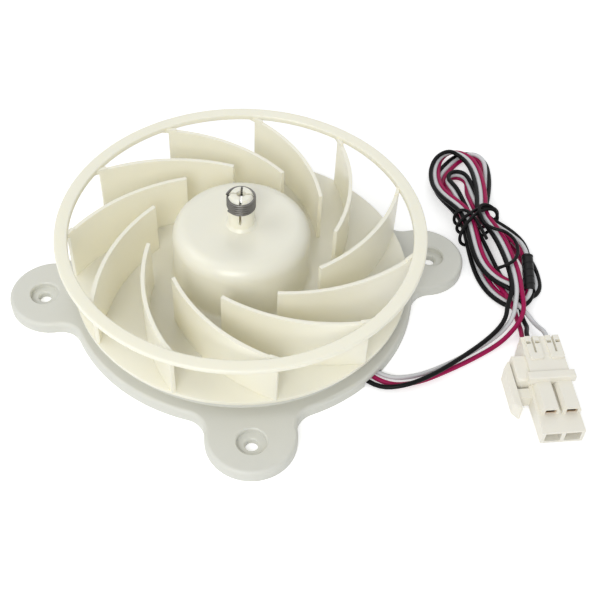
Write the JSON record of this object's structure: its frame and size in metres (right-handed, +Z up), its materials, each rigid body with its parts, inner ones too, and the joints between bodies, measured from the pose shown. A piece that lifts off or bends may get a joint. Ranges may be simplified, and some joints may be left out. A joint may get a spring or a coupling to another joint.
{
  "type": "refrigerator fan motor",
  "caption": "Round fan motor with a curved-blade radial wheel on a three-eared base, a spring-clamped shaft collet, and three leads tied in a hank that end in a plastic connector.",
  "frame": {"origin": "on the fan axis, in the plane of the underside", "axes": "+Z up along the fan axis, out of the air inlet; +X through the holes of the two side ears, towards the side with the hank; +Y away from the single front ear"},
  "size_m": [0.1958, 0.1493, 0.0469],
  "materials": {
    "base_white": "satin",
    "wheel_ivory": "glossy",
    "cover_grey": "matte",
    "screw_steel": "plain",
    "shaft_steel": "ground",
    "spring_steel": "oiled",
    "bearing_bronze": "sintered",
    "magnet_dark": "matte",
    "rotor_bush": "matte",
    "washer_nylon": "matte",
    "core_steel": "laminated",
    "former_nylon": "matte",
    "coil_copper": "enamelled",
    "pin_tin": "tinned",
    "board_green": "lacquered",
    "chip_black": "matte",
    "capacitor_tan": "matte",
    "header_white": "satin",
    "lead_black": "satin",
    "lead_white": "satin",
    "lead_red": "satin",
    "hank_mixed": "satin",
    "tape_black": "satin",
    "tie_black": "satin",
    "connector_cream": "satin",
    "terminal_tin": "tinned"
  },
  "bodies": {
    "base": {"base_plate": "base_white", "bottom_cover": "cover_grey", "cover_screws": "screw_steel", "upper_bearing": "bearing_bronze", "lower_bearing": "bearing_bronze", "stator_core": "core_steel", "coil_former_upper": "former_nylon", "coil_former_lower": "former_nylon", "stator_coils": "coil_copper", "coil_terminals": "pin_tin", "circuit_board": "board_green", "driver_chip": "chip_black", "position_sensor": "chip_black", "capacitor": "capacitor_tan", "chip_resistors": "chip_black", "lead_header": "header_white", "lead_white": "lead_white", "lead_red": "lead_red", "lead_black": "lead_black", "tail_white": "lead_white", "tail_red": "lead_red", "tail_black": "lead_black", "wire_hank": "hank_mixed", "tape_sleeve": "tape_black", "hank_tie": "tie_black", "tie_tail": "tie_black", "connector_housing": "connector_cream", "connector_terminals": "terminal_tin"},
    "rotor": {"impeller": "wheel_ivory", "spring_clamp": "spring_steel", "motor_shaft": "shaft_steel", "rotor_core": "rotor_bush", "rotor_magnet": "magnet_dark", "thrust_washers": "washer_nylon"}
  },
  "joints": [
    {"name": "fan_spin", "type": "hinge", "parent": "base", "child": "rotor", "pos_m": [0, 0, 0.02], "axis": [0, 0, 1], "continuous": true}
  ]
}
